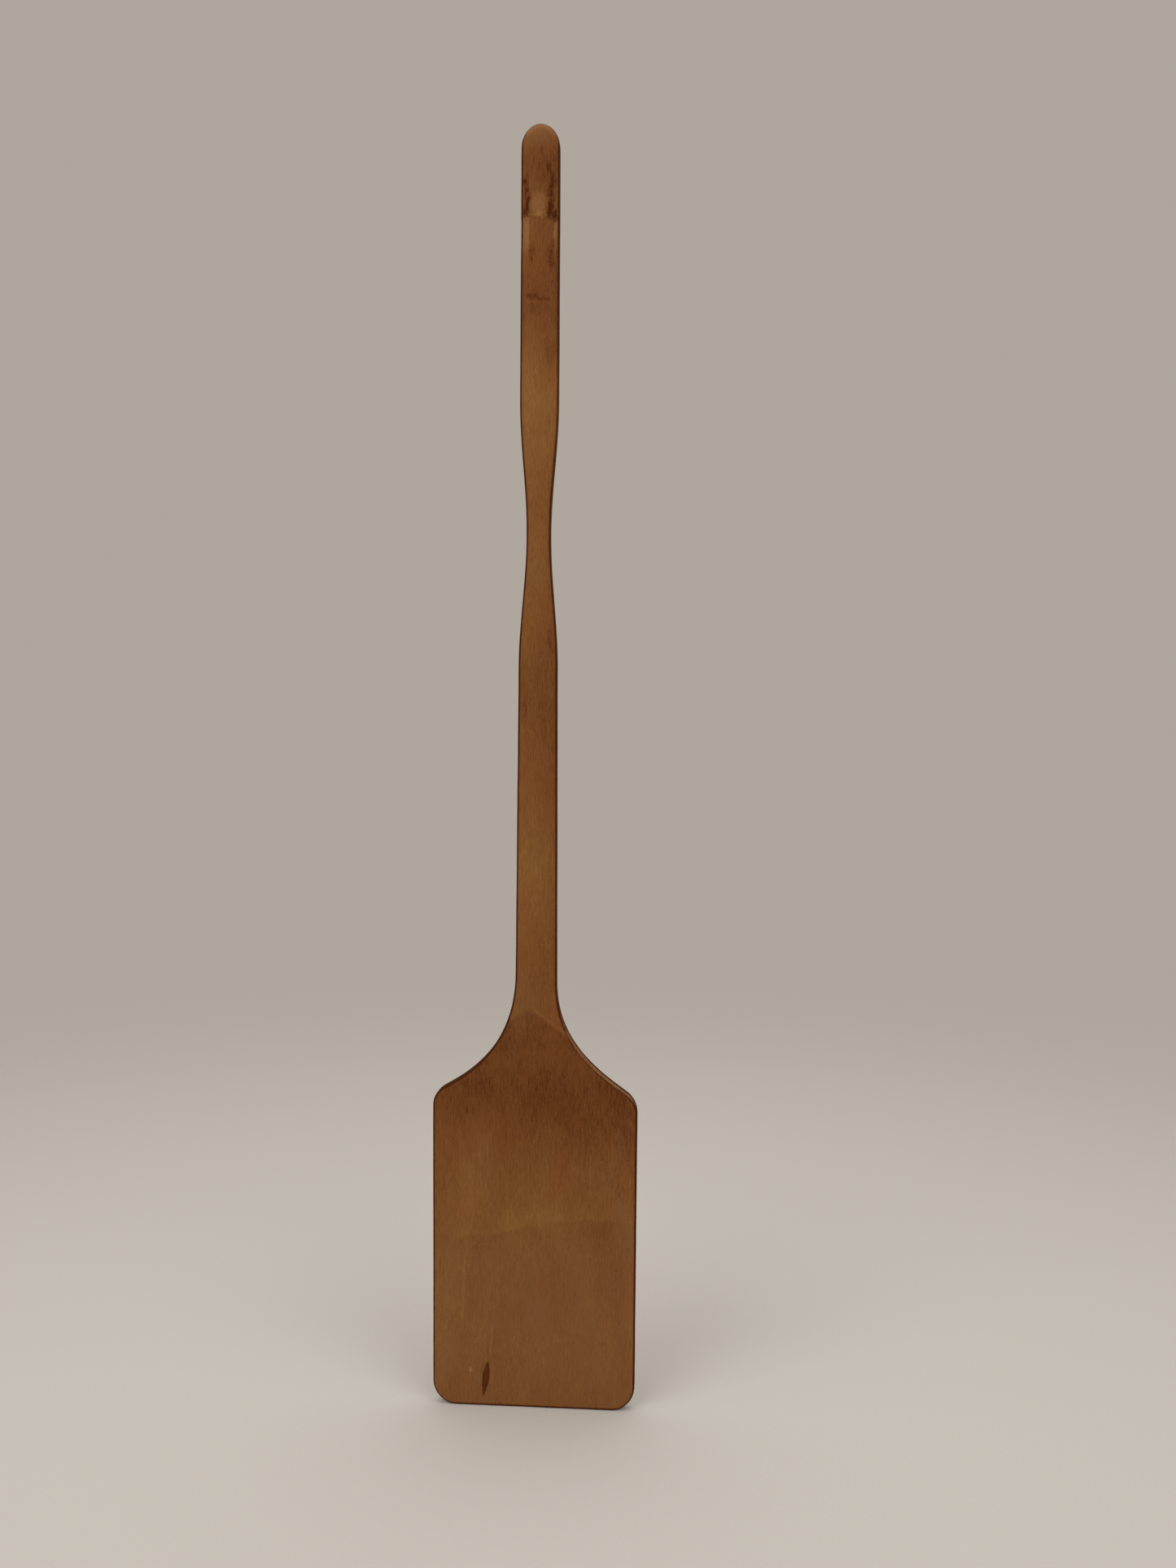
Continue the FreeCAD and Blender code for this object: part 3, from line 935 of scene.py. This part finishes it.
def edges(wood):
    """A dark edge all round, partly oiled edge and partly painted shade on the side walls. The right shoulder
    has a pale bruised strip with a dark back edge.
    """
    bench = wood.bench
    worn = bench.ramp(wood.noise("wear"), *RANGES["wear"])
    slope = bench.rise(wood.z, FADES["shoulder foot"]) * bench.fall(wood.z, FADES["shoulder top"])
    slope = slope * bench.rise(wood.x, FADES["right shoulder"])
    on_shaft = bench.rise(wood.z, FADES["shaft edge"])
    reach = bench.ramp(wood.x, *RANGES["arris width"]) * on_shaft + ARRIS_WIDTH
    from_edge = wood.edge + wood.grit * EDGE_GRIT
    from_front = wood.y + wood.grit * RIM_GRIT
    # The dark edge runs over the side walls too: painted shade there, together with the oiled edge.
    oiled_and_shaded_arris = bench.fall(from_edge, (reach, reach + ARRIS_SOFTNESS))
    oiled_and_shaded_arris = oiled_and_shaded_arris * bench.ramp(bench.stored("wall"), *RANGES["arris on wall"])
    rim = bench.fall(from_edge, FADES["rim"]) * slope
    seam = bench.fall(bench.distance(wood.edge, SEAM_FROM_EDGE), FADES["seam"])
    return {
        "oiled_and_shaded_arris": oiled_and_shaded_arris * (1.0 - slope * ARRIS_LOST_ON_SLOPE),
        "bruise": rim * bench.fall(from_front, FADES["front of rim"]) * worn,
        "back rim": rim * bench.rise(from_front, FADES["front of rim"]),
        "seam": seam * slope * worn * wood.front,
        "bottom": bench.fall(wood.z, FADES["bottom"]),
        "crest": bench.rise(wood.z, FADES["crest"]),
    }


def weighed(shown, shifts):
    """The sum of the things that are shown, each as strong as its shift."""
    return sum(shown[name] * shift for name, shift in shifts.items())


def oiled_hardwood():
    """Old oiled hardwood: upright grain with ray flecks, soft stain patches, handling marks and dark edges,
    with painted shade at the neck, on the right side and on the side walls, and painted highlights at the
    neck crease and on the top of the tip.
    """
    material, bench, metres = new_material("oiled_hardwood")
    wood = Wood(bench, metres)
    shown = grain(wood) | stains_and_painted_light(wood) | handling(wood) | edges(wood)
    length = LENGTH * MM
    tone = level_along(bench, wood.z / length, [(at / length, level) for at, level in TONES_ALONG])
    tone = tone + weighed(shown, TONE_SHIFTS)

    clean = bench.rise(tone, FADES["clean"])
    ruddy = bench.ramp(wood.noise("ruddy"), *RANGES["ruddy"])
    dusty = bench.ramp(wood.noise("dusty"), *RANGES["dusty"])
    dusty = dusty + bench.ramp(wood.z, *RANGES["dusty blade"]) + bench.ramp(wood.z, *RANGES["dusty tip"])
    # Painted highlight: a pale band inside the edge across the domed top of the tip
    tip_highlight = bench.fall(bench.distance(wood.ragged_edge, TIP_HIGHLIGHT_FROM_EDGE), FADES["tip_highlight"])
    tip_highlight = tip_highlight * bench.rise(wood.z, FADES["tip highlight height"])
    # Pale: bare facets and a rubbed grip, with painted highlight on the domed top of the tip
    pale = shown["bare facets"] * 0.55 + tip_highlight * 0.45 + wood.mark(*RUBBED_GRIP) * 0.3
    colour = colours_along(bench, tone, WOOD_COLOURS)
    colour = tinted(bench, ruddy * clean, colour, RUDDY)
    colour = tinted(bench, dusty * clean, colour, DUSTY)
    colour = tinted(bench, pale * clean, colour, BARE_WOOD_AND_HIGHLIGHT)
    colour = tinted(bench, shown["bruise"] * 0.6, colour, BRUISED)

    rough = weighed(shown, ROUGHNESS_SHIFTS) + WOOD_ROUGHNESS
    values = {"Base Color": colour, "Roughness": rough, "Specular IOR Level": 0.02}
    surfaced(bench, values, weighed(shown, RELIEF_SHIFTS), 0.5, WOOD_RELIEF)
    return material


PITCH_COLOURS = [
    (0.0, shade(58, 29, 11, WOOD_LIFT)),
    (0.5, shade(82, 43, 19, WOOD_LIFT)),
    (1.0, shade(106, 62, 31, WOOD_LIFT)),
]


def dark_pitch():
    """Hard old pitch: dark brown and crazed."""
    material, bench, metres = new_material("dark_pitch")
    place = bench.vector("SCALE", metres, Scale=MM)
    clouds = bench.noise(place, (0.9, 0.9, 0.35), 11.0, 3.0)
    strands = bench.noise(place, (4.5, 4.5, 0.4), 12.0, 2.0)
    spread = bench.vector("MULTIPLY", place, (1.1, 1.1, 0.5))
    values = {"Vector": spread, "Scale": 1.0}
    cracks = bench.node("ShaderNodeTexVoronoi", {"feature": "DISTANCE_TO_EDGE"}, values)
    crazed = bench.fall(cracks, (0.0, 0.06))
    colour = colours_along(bench, clouds * 0.9 + strands * 0.5 - crazed * 0.25 + 0.45, PITCH_COLOURS)
    rough = clouds * 0.25 + crazed * 0.2 + 0.42
    values = {"Base Color": colour, "Roughness": rough, "Specular IOR Level": 0.03}
    surfaced(bench, values, strands - crazed, 0.5, PITCH_RELIEF)
    return material


def pale_paper():
    """The pale sheet it stands on, fading out into the room behind."""
    material, bench, place = new_material("pale_paper")
    x, y, _ = bench.parts(place)
    tooth = bench.noise(place, PAPER_TOOTH_WAVES, 5.0)
    colour = tinted(bench, tooth + 0.5, FLOOR_LOW, FLOOR_HIGH)
    values = {"Base Color": colour, "Roughness": 0.92, "Specular IOR Level": 0.2}
    values["Alpha"] = bench.fall(bench.length(x, y), (FLOOR_FADE_START, FLOOR_FADE_END))
    surfaced(bench, values, tooth, 0.1, PAPER_RELIEF)
    return material


# ---------------------------------------------------------------- stage

ROOM = shade(175, 166, 157)
FLOOR_LOW = shade(202, 200, 195)
FLOOR_HIGH = shade(209, 207, 202)
PAPER_TOOTH_WAVES = (900.0, 900.0, 900.0)
FLOOR_RADIUS = 1.30
FLOOR_FADE_START = 0.15
FLOOR_FADE_END = 1.25
CAMERA_PLACE = (0.0583, -0.5121, 0.2724)
CAMERA_TURN = 4.0
CAMERA_ROLL = 0.32
CAMERA_LENS = 27.03
# Soft lamps: name, place, aim, size in metres, power in watts, warmth
LAMPS = [
    ("window_left", (-1.0, -1.3, 1.3), (0.0, 0.0, 0.25), 1.5, 12.0, (1.0, 0.985, 0.96)),
    ("window_right", (1.1, -1.2, 1.2), (0.0, 0.0, 0.25), 1.5, 9.0, (1.0, 0.985, 0.96)),
    ("ceiling", (0.0, 0.2, 1.9), (0.0, 0.2, 0.0), 2.0, 11.5, (1.0, 0.99, 0.97)),
]


def set_stage():
    """Pale floor, an even room round it and soft lamps."""
    mesh = bpy.data.meshes.new("floor")
    work = bmesh.new()
    bmesh.ops.create_circle(work, cap_ends=True, radius=FLOOR_RADIUS, segments=128)
    work.to_mesh(mesh)
    work.free()
    mesh.materials.append(pale_paper())
    floor = bpy.data.objects.new("floor", mesh)
    bpy.context.collection.objects.link(floor)

    world = bpy.data.worlds.new("room")
    world.use_nodes = True
    bench = Bench(world.node_tree)
    air = bench.node("ShaderNodeBackground", values={"Color": ROOM, "Strength": 1.0})
    bench.node("ShaderNodeOutputWorld", values={"Surface": air})
    bpy.context.scene.world = world

    for name, spot_at, aim, size, power, warmth in LAMPS:
        lamp = bpy.data.lights.new(name, "AREA")
        lamp.shape = "DISK"
        lamp.size = size
        lamp.energy = power
        lamp.color = warmth
        stand = bpy.data.objects.new(name, lamp)
        toward = Vector(aim) - Vector(spot_at)
        aimed = toward.to_track_quat("-Z", "Y").to_matrix().to_4x4()
        stand.matrix_world = Matrix.Translation(spot_at) @ aimed
        bpy.context.collection.objects.link(stand)


def set_camera():
    """A hand-held camera a little to the right of the paddle, turned and rolled slightly to the left."""
    lens = bpy.data.cameras.new("camera")
    lens.sensor_width = 36.0
    lens.lens = CAMERA_LENS
    lens.clip_start = 0.01
    camera = bpy.data.objects.new("camera", lens)
    turn = Matrix.Rotation(math.radians(CAMERA_TURN), 4, "Z") @ Matrix.Rotation(math.radians(90.0), 4, "X")
    roll = Matrix.Rotation(math.radians(CAMERA_ROLL), 4, "Z")
    camera.matrix_world = Matrix.Translation(CAMERA_PLACE) @ turn @ roll
    bpy.context.collection.objects.link(camera)
    bpy.context.scene.camera = camera


# ---------------------------------------------------------------- the paddle

def seed_object(name):
    """An empty mesh for a tree to grow from."""
    base = bpy.data.objects.new(name, bpy.data.meshes.new(name))
    bpy.context.collection.objects.link(base)
    return base


wood = oiled_hardwood()
pitch = dark_pitch()
pieces = [
    (grown(outline_curve(), carving_tree(wood), "paddle", CARVING), "oiled_hardwood", "carved_paddle"),
    (grown(seed_object("pitch_seed"), pitch_tree(pitch), "pitch", PITCH), "dark_pitch", "pitch_streak"),
]
for piece, slot, node in pieces:
    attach(piece, "root")
    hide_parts(node)

set_stage()
set_camera()
bpy.context.scene.view_settings.view_transform = "Standard"
